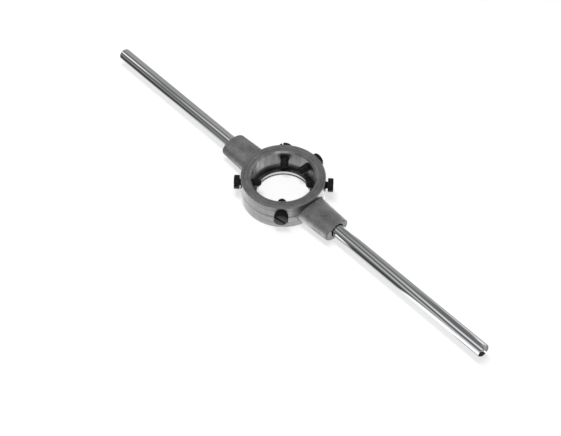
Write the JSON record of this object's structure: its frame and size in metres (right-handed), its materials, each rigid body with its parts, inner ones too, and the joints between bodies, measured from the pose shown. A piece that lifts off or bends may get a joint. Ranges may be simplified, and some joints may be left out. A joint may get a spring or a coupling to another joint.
{
  "type": "die stock",
  "caption": "Die stock for round threading dies: a cast ring with a flat-bottomed seat, slotted cone-point screws through its wall, and a straight bar handle in each arm.",
  "frame": {"origin": "on the ring's axis, in the plane of its underside, at the mouth of the hole for the work", "axes": "+X along the handles, +Y out along the spreading screw, +Z along the ring's axis, up out of the open die seat"},
  "size_m": [0.315, 0.0547, 0.0172],
  "materials": {
    "casting": "blasted grey casting, machined in the seat",
    "handle": "bright chrome-plated steel bar",
    "screw": "blackened steel, satin"
  },
  "bodies": {
    "stock": {"body_casting": "casting", "handle_left": "handle", "handle_right": "handle"},
    "spreading": {"spreading_screw": "screw"},
    "closing_left": {"closing_screw_left": "screw"},
    "closing_right": {"closing_screw_right": "screw"},
    "holding_left": {"holding_screw_left": "screw"},
    "holding_right": {"holding_screw_right": "screw"}
  },
  "joints": [
    {"name": "spreading_screw_travel", "type": "slide", "parent": "stock", "child": "spreading", "axis": [0, 1, 0], "range_m": [-0.0005, 0.0065]},
    {"name": "closing_screw_left_travel", "type": "slide", "parent": "stock", "child": "closing_left", "axis": [-0.7071, 0.7071, 0], "range_m": [-0.0009, 0.0061]},
    {"name": "closing_screw_right_travel", "type": "slide", "parent": "stock", "child": "closing_right", "axis": [0.7071, 0.7071, 0], "range_m": [-0.0011, 0.0059]},
    {"name": "holding_screw_left_travel", "type": "slide", "parent": "stock", "child": "holding_left", "axis": [-0.7071, -0.7071, 0], "range_m": [-0.0005, 0.0065]},
    {"name": "holding_screw_right_travel", "type": "slide", "parent": "stock", "child": "holding_right", "axis": [0.7071, -0.7071, 0], "range_m": [0, 0.007]}
  ]
}
